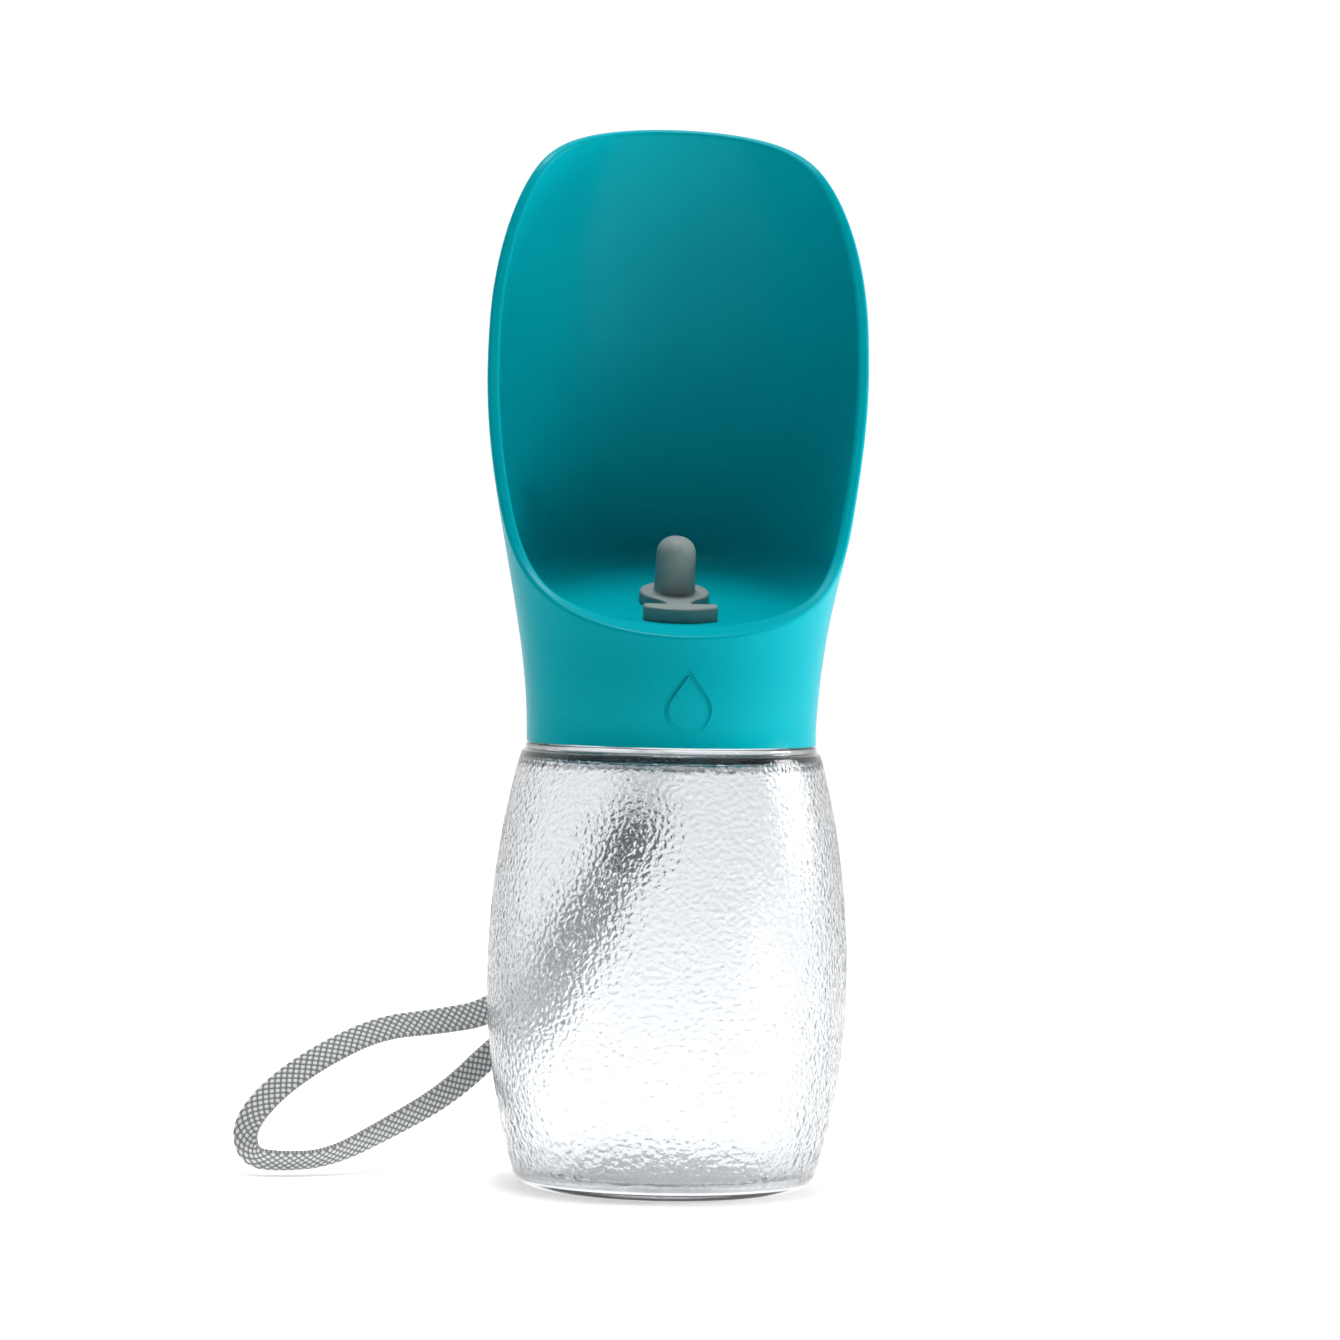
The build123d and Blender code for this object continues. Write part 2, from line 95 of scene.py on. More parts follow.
def grid_mesh(name, points, across_closed=True, caps=True, uv=None):
    """An object of quads over an array of points (rows, columns, 3). The last column may join the
    first, the end rows may be capped, and uv gives each point's place in a map "along_across"."""
    rows, columns, _ = points.shape
    index = np.arange(rows * columns).reshape(rows, columns)
    right = np.roll(index, -1, axis=1) if across_closed else index[:, 1:]
    left = index if across_closed else index[:, :-1]
    quads = np.stack([left[:-1], right[:-1], right[1:], left[1:]], axis=-1).reshape(-1, 4)
    faces = quads.tolist()
    if caps:
        faces += [index[0, ::-1].tolist(), index[-1].tolist()]
    mesh = bpy.data.meshes.new(name)
    mesh.from_pydata(points.reshape(-1, 3), [], faces)
    mesh.shade_smooth()
    if uv is not None:
        loops = np.zeros(len(mesh.loops), np.int32)
        mesh.loops.foreach_get("vertex_index", loops)
        layer = mesh.uv_layers.new(name="along_across")
        layer.data.foreach_set("uv", uv.reshape(-1, 2)[loops].astype(np.float32).ravel())
    obj = bpy.data.objects.new(name, mesh)
    bpy.context.scene.collection.objects.link(obj)
    return obj


TABLE_HALF = 40.0
edge = np.array([-TABLE_HALF, TABLE_HALF])
table = grid_mesh("table", np.stack([*np.meshgrid(edge, edge), np.zeros((2, 2))], axis=-1),
                  across_closed=False, caps=False)
opal, tree, shader = new_material("opal_acrylic_light_table", Base_Color=linear("F4F4F4"),
                                  Roughness=0.7, Emission_Color=linear("FFFFFF"))
# The table is lit from below, less towards its front left corner.
place = add(tree, "TexCoord").outputs["Object"]
back_right = add(tree, "VectorMath", {"operation": "DOT_PRODUCT"}, {0: place, 1: (0.80, 0.60, 0.0)})
glow = add(tree, "MapRange", {"interpolation_type": "SMOOTHSTEP"},
           {"Value": back_right.outputs["Value"], "From Min": -0.45, "From Max": 0.05,
            "To Min": 0.0, "To Max": 0.45})
tree.links.new(glow.outputs[0], shader.inputs["Emission Strength"])
table.data.materials.append(opal)

world = bpy.data.worlds.new("studio_room")
world.use_nodes = True
room = world.node_tree
# The wall behind glows white, and the rest of the studio is dim.
direction = add(room, "TexCoord").outputs["Generated"]
toward_wall = add(room, "VectorMath", {"operation": "DOT_PRODUCT"}, {0: direction, 1: (0.05, 0.96, 0.27)})
wall = add(room, "MapRange", {"interpolation_type": "SMOOTHSTEP"},
           {"Value": toward_wall.outputs["Value"], "From Min": -0.20, "From Max": 0.60,
            "To Min": 0.04, "To Max": 1.06})
room.nodes["Background"].inputs["Color"].default_value = linear("FFFFFF")
room.links.new(wall.outputs[0], room.nodes["Background"].inputs["Strength"])
bpy.context.scene.world = world
bpy.context.scene.view_settings.view_transform = "Standard"


def soft_box(name, place, aim, size, watts):
    """A square area lamp of a size and power at a place, facing the point that it is aimed at."""
    lamp = bpy.data.lights.new(name, "AREA")
    lamp.shape = "SQUARE"
    lamp.size = size
    lamp.energy = watts
    obj = bpy.data.objects.new(name, lamp)
    obj.location = place
    obj.rotation_euler = (Vector(aim) - Vector(place)).to_track_quat("-Z", "Y").to_euler()
    bpy.context.scene.collection.objects.link(obj)
    return obj


MIDDLE = (0.0, 0.0, 0.11)
COLLAR_FRONT = (0.0, -0.03, 0.08)
soft_box("key_soft_box", (0.95, 0.06, 0.35), MIDDLE, 0.35, 4.8)
soft_box("top_soft_box", (0.0, 0.0, 1.0), MIDDLE, 0.25, 6.0)
# The small one gives its light without being seen itself or in a reflection.
low = soft_box("low_soft_box", (0.26, -0.16, 0.004), COLLAR_FRONT, 0.10, 0.42)
low.visible_camera = False
low.visible_glossy = False

# The camera stands a little to the left of the front, looks slightly down and is rolled by a
# degree.
EYE = Vector((-0.0960, -0.8838, 0.1186))
HEADING = math.radians(6.167)
DIP = math.radians(1.216)
LEAN = math.radians(1.05)
forward = Vector((math.sin(HEADING) * math.cos(DIP), math.cos(HEADING) * math.cos(DIP), -math.sin(DIP)))
camera_data = bpy.data.cameras.new("studio_camera")
camera_data.lens = 123.1
camera_data.sensor_width = 36.0
camera_data.clip_start = 0.01
camera = bpy.data.objects.new("studio_camera", camera_data)
camera.rotation_mode = "QUATERNION"
camera.rotation_quaternion = (-forward).to_track_quat("Z", "Y") @ Quaternion((0, 0, 1), LEAN)
camera.location = EYE
bpy.context.scene.collection.objects.link(camera)
bpy.context.scene.camera = camera


# ---------------------------------------------------------------- wrist strap
# A flat braid of light and dark grey polyester yarns, both ends crimped into the ferrule.
# It leaves the ferrule behind the bottle, twists as it swings out to the left, turns over on
# the table and comes back.
def route_line(name, points):
    """The smooth line of a route: a third-order NURBS spline with the points as its control points,
    read back as the points that Blender evaluates along it."""
    curve = bpy.data.curves.new(name, "CURVE")
    curve.dimensions = "3D"
    curve.resolution_u = 24
    spline = curve.splines.new("NURBS")
    spline.points.add(len(points) - 1)
    spline.points.foreach_set("co", np.c_[np.array(points), np.ones(len(points))].ravel())
    spline.order_u = 3
    spline.use_endpoint_u = True
    holder = bpy.data.objects.new(name, curve)
    bpy.context.scene.collection.objects.link(holder)
    mesh = bpy.data.meshes.new_from_object(holder)
    line = np.zeros(len(mesh.vertices) * 3)
    mesh.vertices.foreach_get("co", line)
    bpy.data.objects.remove(holder)
    bpy.data.curves.remove(curve)
    bpy.data.meshes.remove(mesh)
    return line.reshape(-1, 3)


def even_line(line, step):
    """The same line with points a near-equal step apart, and the distance along it at each."""
    lengths = np.r_[0, np.cumsum(np.linalg.norm(np.diff(line, axis=0), axis=1))]
    count = int(round(lengths[-1] / step)) + 1
    along = np.linspace(0, lengths[-1], count)
    return np.stack([np.interp(along, lengths, line[:, i]) for i in range(3)], axis=1), along


def unit(vectors):
    """Each vector divided by its own length."""
    return vectors / np.linalg.norm(vectors, axis=-1, keepdims=True)


STRAP_ROUTE = [
    (-0.0069, 0.0370, 0.0605), (-0.0142, 0.0370, 0.0508), (-0.0220, 0.0366, 0.0396),
    (-0.0312, 0.0329, 0.0298), (-0.0429, 0.0272, 0.0283), (-0.0545, 0.0220, 0.0276),
    (-0.0660, 0.0170, 0.0226), (-0.0755, 0.0126, 0.0164), (-0.0814, 0.0096, 0.0094),
    (-0.0802, 0.0082, 0.0036), (-0.0745, 0.0074, 0.0028), (-0.0645, 0.0094, 0.0032),
    (-0.0525, 0.0146, 0.0088), (-0.0410, 0.0212, 0.0146), (-0.0310, 0.0282, 0.0230),
    (-0.0208, 0.0350, 0.0298), (-0.0140, 0.0388, 0.0404), (-0.0094, 0.0400, 0.0496),
    (-0.0055, 0.0400, 0.0597),
]
STRAP_WIDTH = 0.0056
STRAP_THICK = 0.0012
STRAP_STEP = 0.00025
YARN_PITCH = 0.0016      # between like yarns, so the light dots lie 1.1 mm apart
YARN_RISE = 0.00010      # for each unit of the sum of the two waves below
BRAID_LEVEL = 0.7        # the size of that sum at which the face stays where it is
MM_PER_M = 1000.0
strap_line, strap_along = even_line(route_line("strap_route", STRAP_ROUTE), STRAP_STEP)

# How far the braid's face tips from the front towards the outside of its loop, at shares of its
# length: it faces forward in the ferrule, tips along the upper strand, and tips most just past
# the far end.
LEAN_SHARES = [0.0, 0.15, 0.30, 0.42, 0.49, 0.54, 0.62, 0.80, 1.0]
LEAN_DEGREES = [5, 20, 45, 35, 35, 55, 40, 15, 5]
tangent = unit(np.gradient(strap_line, axis=0))
to_viewer = np.array([0.0, -1.0, 0.0])
facing = unit(to_viewer - (tangent @ to_viewer)[:, None] * tangent)
sideways = np.cross(tangent, facing)
lean = np.radians(np.interp(strap_along / strap_along[-1], LEAN_SHARES, LEAN_DEGREES))
SMOOTHED = 40            # steps each side over which the lean is averaged
lean = np.convolve(np.pad(lean, SMOOTHED, mode="edge"), np.ones(2 * SMOOTHED + 1) / (2 * SMOOTHED + 1),
                   mode="valid")[:, None]
face_normal = facing * np.cos(lean) + sideways * np.sin(lean)
width_way = np.cross(face_normal, tangent)


def rounded_flat(turn, across_power, out_power):
    """A flat section with rounded edges, as (across, out) from -1 to 1 at each angle: the cosine and
    the sine with their size raised to a power under 1 and their sign kept."""
    return (np.sign(np.cos(turn)) * np.abs(np.cos(turn)) ** across_power,
            np.sign(np.sin(turn)) * np.abs(np.sin(turn)) ** out_power)


STRAP_COLUMNS = 56
turn = np.linspace(0, 2 * np.pi, STRAP_COLUMNS, endpoint=False) + np.pi / STRAP_COLUMNS
ring_across, ring_out = rounded_flat(turn, across_power=0.62, out_power=0.40)
ring_across = ring_across * STRAP_WIDTH / 2
ring_out = ring_out * STRAP_THICK / 2
# The braid stands out where two like yarns cross, by the size of two cosines' sum, and sinks
# between crossings.
wave_along = 2 * np.pi * strap_along[:, None] / YARN_PITCH
wave_across = 2 * np.pi * ring_across[None, :] / YARN_PITCH
over_under = np.cos(wave_along) + np.cos(wave_across)
bump = YARN_RISE * (np.abs(over_under) - BRAID_LEVEL)
strap_points = (
    strap_line[:, None, :]
    + width_way[:, None, :] * ring_across[None, :, None]
    + face_normal[:, None, :] * (ring_out[None, :] * (1 + bump / (STRAP_THICK / 2)))[..., None]
)
strap_uv = MM_PER_M * np.stack(np.broadcast_arrays(strap_along[:, None], ring_across[None, :]), axis=-1)
strap = grid_mesh("wrist_strap", strap_points, uv=strap_uv)
strap_cloth, tree, shader = new_material("woven_polyester_braid", Roughness=0.85)
# The same cosines, read from the braid's map in millimetres, draw the light dots: their sum is
# large on a dot and near nothing between.
mapped = add(tree, "UVMap", {"uv_map": "along_across"}).outputs["UV"]
ways = add(tree, "SeparateXYZ", {}, {"Vector": mapped})
cosines = []
for way in ("X", "Y"):
    phase = add(tree, "Math", {"operation": "MULTIPLY"},
                {0: ways.outputs[way], 1: 2 * math.pi / (YARN_PITCH * MM_PER_M)})
    cosines.append(add(tree, "Math", {"operation": "COSINE"}, {0: phase.outputs[0]}).outputs[0])
crossing = add(tree, "Math", {"operation": "ADD"}, {0: cosines[0], 1: cosines[1]})
dot = add(tree, "Math", {"operation": "ABSOLUTE"}, {0: crossing.outputs[0]})
dot_size = add(tree, "Math", {"operation": "MULTIPLY"}, {0: dot.outputs[0], 1: 0.8})
yarns = add(tree, "ValToRGB", {}, {"Fac": dot_size.outputs[0]})
for stop, position, colour in zip(yarns.color_ramp.elements, (0.42, 1.0), ("84888B", "EDEDEA")):
    stop.position, stop.color = position, linear(colour)
tree.links.new(yarns.outputs["Color"], shader.inputs["Base Color"])
strap.data.materials.append(strap_cloth)
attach(strap, "cap")
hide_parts("strap_loop")


# ---------------------------------------------------------------- hitch cord
# A thin round braided nylon cord, doubled through the eyelet behind the collar, with both ends
# crimped into the ferrule.
HITCH_ROUTE = [
    (-0.0022, 0.0385, 0.0684), (-0.0026, 0.0383, 0.0746), (-0.0033, 0.0370, 0.0810),
    (-0.0036, 0.0342, 0.0870), (-0.0034, 0.0309, 0.0926), (0.0034, 0.0309, 0.0926),
    (0.0036, 0.0340, 0.0869), (0.0026, 0.0368, 0.0808), (0.0010, 0.0382, 0.0745),
    (0.0002, 0.0385, 0.0680),
]
HITCH_WIDTH = 0.0016
HITCH_STEP = 0.0002
HITCH_WIND = 2800.0      # radians of the yarns' pattern to a metre of cord
HITCH_YARNS = 4          # half the yarns that wind each way
HITCH_CORE, HITCH_RELIEF = 0.86, 0.07
NEVER_ZERO = 1e-9
hitch_line, hitch_along = even_line(route_line("hitch_route", HITCH_ROUTE), HITCH_STEP)
tangent = unit(np.gradient(hitch_line, axis=0))
side = unit(np.cross(tangent, [0.0, 1.0, 0.0]) + NEVER_ZERO)
up = np.cross(side, tangent)
turn = np.linspace(0, 2 * np.pi, 32, endpoint=False)[None, :]
# The radius is the core's, and rises by the sizes of two sines, one for the yarns that wind
# each way.
wound = HITCH_WIND * hitch_along[:, None]
yarns = np.abs(np.sin(HITCH_YARNS * turn + wound)) + np.abs(np.sin(HITCH_YARNS * turn - wound))
radius = HITCH_WIDTH / 2 * (HITCH_CORE + HITCH_RELIEF * yarns)
hitch_points = hitch_line[:, None, :] + radius[..., None] * (
    side[:, None, :] * np.cos(turn)[..., None] - up[:, None, :] * np.sin(turn)[..., None])
hitch = grid_mesh("hitch_cord", hitch_points)
hitch_cloth, tree, shader = new_material("braided_nylon_cord", Roughness=0.8)
# Yarn by yarn the grey varies, over about half a millimetre.
place = add(tree, "TexCoord").outputs["Object"]
yarn = add(tree, "TexNoise", {}, {"Vector": place, "Scale": 1800.0, "Detail": 3.0})
shade = add(tree, "ValToRGB", {}, {"Fac": yarn.outputs["Fac"]})
for stop, position, colour in zip(shade.color_ramp.elements, (0.35, 0.65), ("AEB2B5", "DADDDD")):
    stop.position, stop.color = position, linear(colour)
tree.links.new(shade.outputs["Color"], shader.inputs["Base Color"])
hitch.data.materials.append(hitch_cloth)
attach(hitch, "cap")
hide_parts("strap_hitch_cord")


# ---------------------------------------------------------------- cup cap
# Turquoise polypropylene, one injection moulding: collar, drinking trough and eyelet. The
# mould's fine spark-eroded grain gives a satin face, and the melt's flow leaves the faintest
# clouds in its colour.

# The specular level is far under the usual 0.5, matched: the face hardly mirrors the room.
teal, tree, shader = new_material("moulded_polypropylene", Roughness=0.27, Specular_IOR_Level=0.04)
place = add(tree, "TexCoord").outputs["Object"]
flow = add(tree, "TexNoise", {}, {"Vector": place, "Scale": 40.0, "Detail": 2.0})
shade = add(tree, "ValToRGB", {}, {"Fac": flow.outputs["Fac"]})
for stop, position, colour in zip(shade.color_ramp.elements, (0.3, 0.7), ("02A6B4", "02ACB8")):
    stop.position, stop.color = position, linear(colour)
tree.links.new(shade.outputs["Color"], shader.inputs["Base Color"])
# The grain is drawn about 0.3 mm across, coarser than a real one so that it shows, and 0.006 mm
# deep.
grain = add(tree, "TexNoise", {}, {"Vector": place, "Scale": 3600.0, "Detail": 2.0, "Roughness": 0.6})
grained = add(tree, "Bump", {}, {"Height": grain.outputs["Fac"], "Strength": 0.6, "Distance": 0.000006})
tree.links.new(grained.outputs["Normal"], shader.inputs["Normal"])


def finish_as_moulded(material, *names):
    """Gives CAD nodes a material in place of their plain one."""
    for name in names:
        nodes[name].data.materials.clear()
        nodes[name].data.materials.append(material)


finish_as_moulded(teal, "cup_cap")


# ---------------------------------------------------------------- stopper, gasket and ferrule
# Grey silicone, compression moulded: matt, a little see-through at thin edges, with a faint
# mottling 2 mm across and finer. The ferrule, crimped on the cords' ends, is dark grey moulded
# nylon with a grain of 0.4 mm.
grey, tree, shader = new_material("moulded_silicone", Roughness=0.55, Specular_IOR_Level=0.35,
                                  Subsurface_Weight=0.15, Subsurface_Scale=0.001)
place = add(tree, "TexCoord").outputs["Object"]
mottle = add(tree, "TexNoise", {}, {"Vector": place, "Scale": 450.0, "Detail": 4.0})
shade = add(tree, "ValToRGB", {}, {"Fac": mottle.outputs["Fac"]})
for stop, colour in zip(shade.color_ramp.elements, ("87918F", "99A3A1")):
    stop.color = linear(colour)
tree.links.new(shade.outputs["Color"], shader.inputs["Base Color"])
skin = add(tree, "Bump", {}, {"Height": mottle.outputs["Fac"], "Strength": 0.4, "Distance": 0.00002})
tree.links.new(skin.outputs["Normal"], shader.inputs["Normal"])
finish_as_moulded(grey, "stopper_plug", "stopper_anchor", "neck_gasket")

nylon, tree, shader = new_material("moulded_nylon", Roughness=0.5)
place = add(tree, "TexCoord").outputs["Object"]
grain = add(tree, "TexNoise", {}, {"Vector": place, "Scale": 2500.0, "Detail": 2.0})
shade = add(tree, "ValToRGB", {}, {"Fac": grain.outputs["Fac"]})
for stop, colour in zip(shade.color_ramp.elements, ("3C4252", "4F566A")):
    stop.color = linear(colour)
tree.links.new(shade.outputs["Color"], shader.inputs["Base Color"])
grained = add(tree, "Bump", {}, {"Height": grain.outputs["Fac"], "Strength": 0.5, "Distance": 0.00003})
tree.links.new(grained.outputs["Normal"], shader.inputs["Normal"])
finish_as_moulded(nylon, "strap_ferrule")


# ---------------------------------------------------------------- stopper's tether
# The thin waisted neck of the same silicone moulding, between the sealing disc and the anchor
# bar. It is the real stopper's hinge; here it is built only in its rest shape.
FLOOR_SLOPE = math.radians(15.5)
FLOOR_ON_AXIS = 0.1130
DISC_FLAT_RADIUS, ANCHOR_FLAT = 0.0062, 0.0113   # where the flat tops of disc and anchor begin
FLARE, WAIST = 0.0045, 0.00245                   # half widths at its ends and its waist
WAIST_AT = 0.0088                                # from the spout's middle
REACH_BACK, REACH_FRONT = 0.0037, 0.0020         # from the waist to the full flare
TETHER_THICK, TETHER_TOP = 0.0015, 0.00228       # its top is this high over the floor


def on_floor(across, forward_of_spout, height):
    """Points of the sloping cup floor's own frame, in the shared frame: turned about X by the slope."""
    run, rise = math.cos(FLOOR_SLOPE), math.sin(FLOOR_SLOPE)
    return np.stack([across,
                     -forward_of_spout * run - height * rise,
                     FLOOR_ON_AXIS - forward_of_spout * rise + height * run], axis=-1)


def tether_half_width(at):
    """Half the width at a distance from the spout: the waist, and from there to the flare with the
    square of the distance over the reach on that side, never more than the flare."""
    reach = np.where(at < WAIST_AT, REACH_BACK, REACH_FRONT)
    return np.minimum(WAIST + (FLARE - WAIST) * ((at - WAIST_AT) / reach) ** 2, FLARE)


across, thick = rounded_flat(np.linspace(0, 2 * np.pi, 48, endpoint=False)[None, :],
                             across_power=0.25, out_power=0.45)
share = np.linspace(0, 1, 33)[:, None]
disc_end = np.sqrt(DISC_FLAT_RADIUS ** 2 - (FLARE * across) ** 2)
at = disc_end + (ANCHOR_FLAT - disc_end) * share
tether = grid_mesh("stopper_neck", on_floor(
    across * tether_half_width(at), at, TETHER_TOP - TETHER_THICK / 2 * (1 - thick)))
tether.data.materials.append(grey)
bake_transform(tether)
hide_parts("stopper_tether")


# ---------------------------------------------------------------- bottle
# Clear copolyester, injection-stretch-blown into a textured mould: the barrel is hammered
# all over, and the land, neck, thread and inside are smooth. Walls about 1.6 mm.
BARREL_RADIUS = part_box("bottle")[1].x
NECK_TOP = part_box("bottle")[1].z
BELLY, SHOULDER, LAND_TOP = 0.040, 0.084, 0.0853
FOOT_RADIUS, SHOULDER_RADIUS, LAND_RADIUS = 0.0286, 0.0289, 0.0282
NECK_RADIUS, NECK_INSIDE, WALL = 0.024, 0.022, 0.0016
DOME_EDGE, DOME_RISE, FOOT_CORNER = 0.0236, 0.003, 0.002
DOME_LIP, FOOT_SPREAD, SHOULDER_ROUND, LAND_BEVEL = 0.0004, 0.0002, 0.0003, 0.0002
NECK_FILLET, RIM_ROUND, RIM_DEPTH = 0.0003, 0.0004, 0.002
INNER_EASE, INNER_DROP = 0.0006, 0.0004   # across and down, where the shoulder turns inside
FINE, COARSE = 448, 112   # columns round the hammered barrel, and round the smooth parts


def barrel_radius(z):
    """Two circle arcs that meet upright at the belly, each falling in by its drop over its rise."""
    radius = np.zeros_like(z)
    for rise, drop, side in ((BELLY, BARREL_RADIUS - FOOT_RADIUS, z < BELLY),
                             (SHOULDER - BELLY, BARREL_RADIUS - SHOULDER_RADIUS, z >= BELLY)):
        arc = (rise ** 2 + drop ** 2) / (2 * drop)
        radius[side] = BARREL_RADIUS - arc + np.sqrt(arc ** 2 - (z[side] - BELLY) ** 2)
    return radius


def dome(edge, lift, count):
    """Shallow spherical hollow under the base, or the floor inside a lift above it, from its middle
    out: (radius, height) rows of a circle arc."""
    ball = (DOME_EDGE ** 2 + DOME_RISE ** 2) / (2 * DOME_RISE) + lift
    radius = np.linspace(0, edge, count)[1:]
    return np.c_[radius, np.sqrt(ball ** 2 - radius ** 2) + DOME_RISE + lift - ball]


def corner(centre, size, start, end, count):
    """Quarter turn of a rounded corner in the (radius, height) plane, angles in degrees."""
    angle = np.radians(np.linspace(start, end, count))
    return np.c_[centre[0] + size * np.cos(angle), centre[1] + size * np.sin(angle)]


def straight(start, end, count):
    """Evenly spaced rows of (radius, height) from one point to another, both included."""
    return np.linspace(start, end, count)


def hammered(rows, columns, pitch, spread, seed):
    """Random field of unit spread whose waves are all near one length: white noise on the
    unrolled barrel with every wave damped by a bell curve round the wanted one."""
    noise = np.fft.fft2(np.random.default_rng(seed).standard_normal((rows, columns)))
    per_mm = np.hypot(np.fft.fftfreq(rows, ROW_STEP)[:, None], np.fft.fftfreq(columns, COLUMN_STEP)[None, :])
    kept = noise * np.exp(-((per_mm * pitch - 1) / spread) ** 2)
    field = np.fft.ifft2(kept).real
    return field / field.std()


def revolved(profile, columns):
    """Rows of a profile turned about the bottle's axis: (rows, columns, 3)."""
    angle = np.arange(columns) * 2 * np.pi / columns
    radius = profile[:, :1]
    return np.stack([radius * np.cos(angle), radius * np.sin(angle),
                     np.broadcast_to(profile[:, 1:], (len(profile), columns))], axis=-1)


def band(first, rows, columns):
    """Quads of a closed band whose vertices start at an index."""
    index = first + np.arange(rows * columns).reshape(rows, columns)
    right = np.roll(index, -1, axis=1)
    return np.stack([index[:-1], right[:-1], right[1:], index[1:]], axis=-1).reshape(-1, 4).tolist()


def stitch(coarse, fine, coarse_below):
    """Seven-sided faces that join a coarse ring to a ring with four times its columns."""
    share = len(fine) // len(coarse)
    after = np.roll(coarse, -1)
    steps = [fine[(np.arange(len(coarse)) * share + k) % len(fine)] for k in range(share + 1)]
    if coarse_below:
        return np.stack([coarse, after, *steps[::-1]], axis=-1).tolist()
    return np.stack([*steps, after, coarse], axis=-1).tolist()


# The outline in (radius, height), from the middle of the base, up the outside, over the rim
# and down the inside to the middle of the floor.
under = np.r_[
    dome(DOME_EDGE, 0, 14),
    straight((DOME_EDGE + DOME_LIP, 0), (FOOT_RADIUS - FOOT_CORNER, 0), 4),
]
foot = corner((FOOT_RADIUS - FOOT_CORNER + FOOT_SPREAD, FOOT_CORNER), FOOT_CORNER, -70, -14, 5)
barrel_z = np.linspace(FOOT_CORNER, SHOULDER - SHOULDER_ROUND, 172)
ROW_STEP = (barrel_z[1] - barrel_z[0]) * MM_PER_M
COLUMN_STEP = 2 * math.pi * BARREL_RADIUS * MM_PER_M / FINE
barrel = np.c_[barrel_radius(barrel_z), barrel_z]
land = np.r_[
    corner((SHOULDER_RADIUS - SHOULDER_ROUND, SHOULDER - SHOULDER_ROUND), SHOULDER_ROUND, 30, 90, 3),
    straight((LAND_RADIUS, SHOULDER), (LAND_RADIUS, LAND_TOP - LAND_BEVEL), 4),
    straight((LAND_RADIUS - LAND_BEVEL, LAND_TOP), (NECK_RADIUS + NECK_FILLET, LAND_TOP), 4),
]
neck = straight((NECK_RADIUS, LAND_TOP + NECK_FILLET), (NECK_RADIUS, NECK_TOP - RIM_ROUND), 44)
rim = np.r_[
    corner((NECK_RADIUS - RIM_ROUND, NECK_TOP - RIM_ROUND), RIM_ROUND, 20, 90, 4),
    corner((NECK_INSIDE + RIM_ROUND, NECK_TOP - RIM_ROUND), RIM_ROUND, 90, 180, 4),
]
inner_shoulder = SHOULDER - WALL
inside_z = np.linspace(inner_shoulder - INNER_DROP, FOOT_CORNER + WALL, 52)
inner_corner = (FOOT_RADIUS - WALL - FOOT_CORNER, FOOT_CORNER + WALL)
inside = np.r_[
    straight((NECK_INSIDE, NECK_TOP - RIM_DEPTH), (NECK_INSIDE, inner_shoulder), 8),
    straight((NECK_INSIDE + INNER_EASE, inner_shoulder),
             (SHOULDER_RADIUS - WALL - INNER_EASE, inner_shoulder), 4),
    np.c_[barrel_radius(inside_z) - WALL, inside_z],
    corner(inner_corner, FOOT_CORNER, 0, -80, 6)[1:],
    [(DOME_EDGE, WALL)],
    dome(DOME_EDGE, WALL, 14)[::-1][1:],
]
upper = np.r_[land, neck, rim, inside]

# Two thread ridges climb the neck, each a flat-topped bump that fades in and out at its ends.
# A point of the neck rises by how near it is to the ridge's middle line.
THREAD_RISE, LEAD, STARTS, THREAD_FOOT, THREAD_RUN = 0.0012, 0.008, 2, 0.0026, 0.010
RIDGE_HALF, FLANK, RUN_IN, RUN_OUT = 0.0011, 0.0005, 0.0001, 0.0006
HAIR = 0.00001
upper_points = revolved(upper, COARSE)
angle = np.arange(COARSE) * 2 * np.pi / COARSE
for start in range(STARTS):
    turn = (angle - 2 * np.pi * start / STARTS) % (2 * np.pi)
    for lap in range(math.ceil(THREAD_RUN / LEAD)):
        climbed = LEAD * (turn / (2 * np.pi) + lap)
        off = np.abs(upper_points[..., 2] - (LAND_TOP + THREAD_FOOT + climbed))
        ridge = THREAD_RISE * np.clip((RIDGE_HALF - off) / FLANK, 0, 1)
        ridge *= np.clip((THREAD_RUN - climbed) / RUN_OUT, 0, 1)
        ridge *= np.clip((climbed + RUN_IN) / RUN_OUT, 0, 1)
        outside = np.hypot(upper_points[..., 0], upper_points[..., 1]) > NECK_RADIUS - HAIR
        outside &= upper_points[..., 2] > LAND_TOP
        grown = 1 + ridge * outside / NECK_RADIUS
        upper_points[..., :2] *= grown[..., None]

# The barrel's dents, with broader waves towards the foot. Both fade out at its two ends. Sizes
# are in metres, pitches in millimetres.
DENT_SIZE, DENT_PITCH, WAVE_SIZE, WAVE_PITCH, PITCH_SPREAD = 0.000042, 1.35, 0.000030, 3.2, 0.35
DENT_FADE, WAVES_TOP, WAVES_GROW = 0.0015, 0.030, 0.025
fine_points = revolved(barrel, FINE)
fade = np.clip(np.minimum(barrel_z - FOOT_CORNER, SHOULDER - barrel_z) / DENT_FADE, 0, 1)[:, None]
low_down = np.clip((WAVES_TOP - barrel_z) / WAVES_GROW, 0, 1)[:, None]
dents = DENT_SIZE * hammered(len(barrel_z), FINE, DENT_PITCH, PITCH_SPREAD, seed=7)
waves = WAVE_SIZE * low_down * hammered(len(barrel_z), FINE, WAVE_PITCH, PITCH_SPREAD, seed=11)
outward = 1 + (dents + waves) * fade / barrel_radius(barrel_z)[:, None]
fine_points[..., :2] *= outward[..., None]
lower_points = revolved(np.r_[under, foot], COARSE)

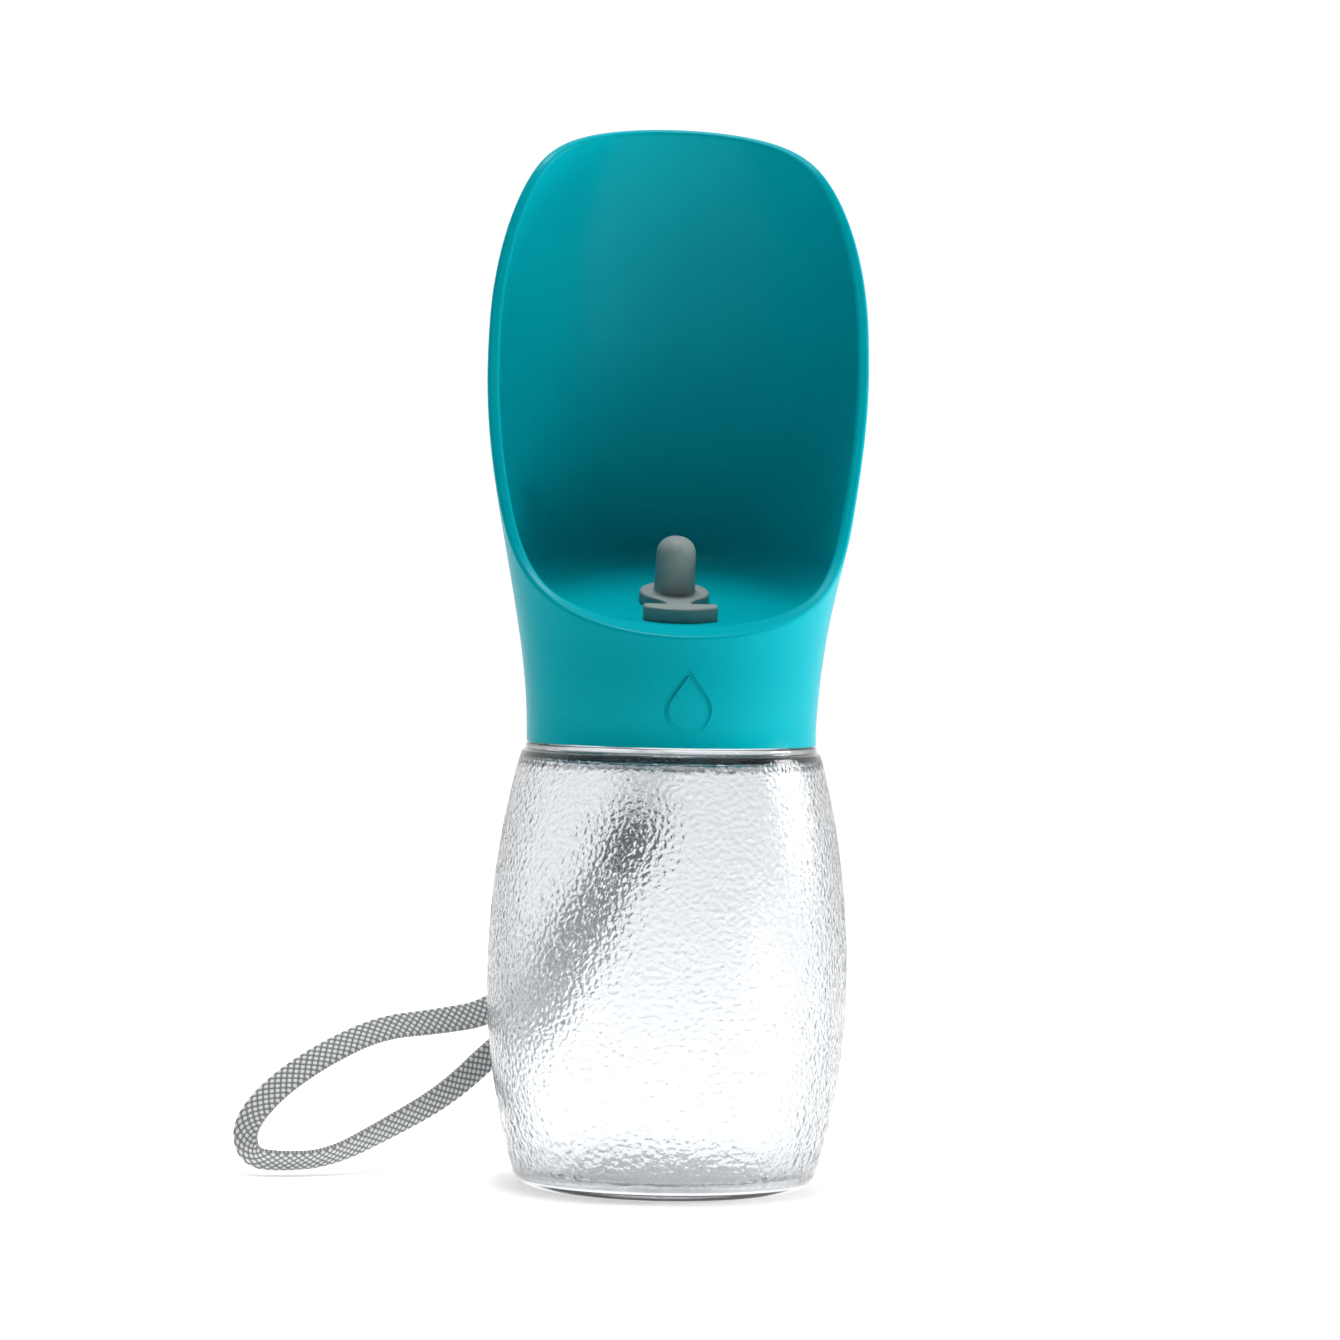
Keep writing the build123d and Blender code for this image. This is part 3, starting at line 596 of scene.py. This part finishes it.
stack = [lower_points, fine_points, upper_points]
firsts = np.cumsum([0] + [len(p) * p.shape[1] for p in stack])
middle_under, middle_floor = firsts[-1], firsts[-1] + 1
vertices = np.r_[tuple(p.reshape(-1, 3) for p in stack)]
vertices = np.r_[vertices, [[0, 0, DOME_RISE], [0, 0, DOME_RISE + WALL]]]
faces = []
for points, first in zip(stack, firsts):
    faces += band(first, len(points), points.shape[1])
# The bands join end to end, and a fan of triangles closes the middle of the base on each side.
coarse, fine = np.arange(COARSE), np.arange(FINE)
faces += stitch(firsts[1] - COARSE + coarse, firsts[1] + fine, coarse_below=True)
faces += stitch(firsts[2] + coarse, firsts[2] - FINE + fine, coarse_below=False)
floor_edge = firsts[3] - COARSE + coarse
faces += np.stack([np.full(COARSE, middle_under), np.roll(coarse, -1), coarse], axis=-1).tolist()
faces += np.stack([np.full(COARSE, middle_floor), floor_edge, np.roll(floor_edge, -1)], axis=-1).tolist()
mesh = bpy.data.meshes.new("hammered_bottle")
mesh.from_pydata(vertices, [], faces)
mesh.shade_smooth()
bottle = bpy.data.objects.new("hammered_bottle", mesh)
bpy.context.scene.collection.objects.link(bottle)

clear, tree, shader = new_material("clear_copolyester", Base_Color=linear("EDEFF1"), Roughness=0.16,
                                   Transmission_Weight=1.0, IOR=1.5)
# The finest pebbles, 0.9 mm across and up to 0.15 mm deep, are on the barrel only.
place = add(tree, "TexCoord").outputs["Object"]
pebble = add(tree, "TexNoise", {}, {"Vector": place, "Scale": 1100.0, "Detail": 1.0, "Roughness": 0.4})
height = add(tree, "SeparateXYZ", {}, {"Vector": place}).outputs["Z"]
above_foot = add(tree, "MapRange", {}, {"Value": height, "From Min": 0.002, "From Max": 0.004})
below_land = add(tree, "MapRange", {}, {"Value": height, "From Min": 0.084, "From Max": 0.0825})
on_barrel = add(tree, "Math", {"operation": "MULTIPLY"}, {0: above_foot.outputs[0], 1: below_land.outputs[0]})
dented = add(tree, "Bump", {}, {"Strength": on_barrel.outputs[0], "Height": pebble.outputs["Fac"],
                                "Distance": 0.00015})
tree.links.new(dented.outputs["Normal"], shader.inputs["Normal"])
bottle.data.materials.append(clear)
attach(bottle, "bottle")
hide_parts("bottle")
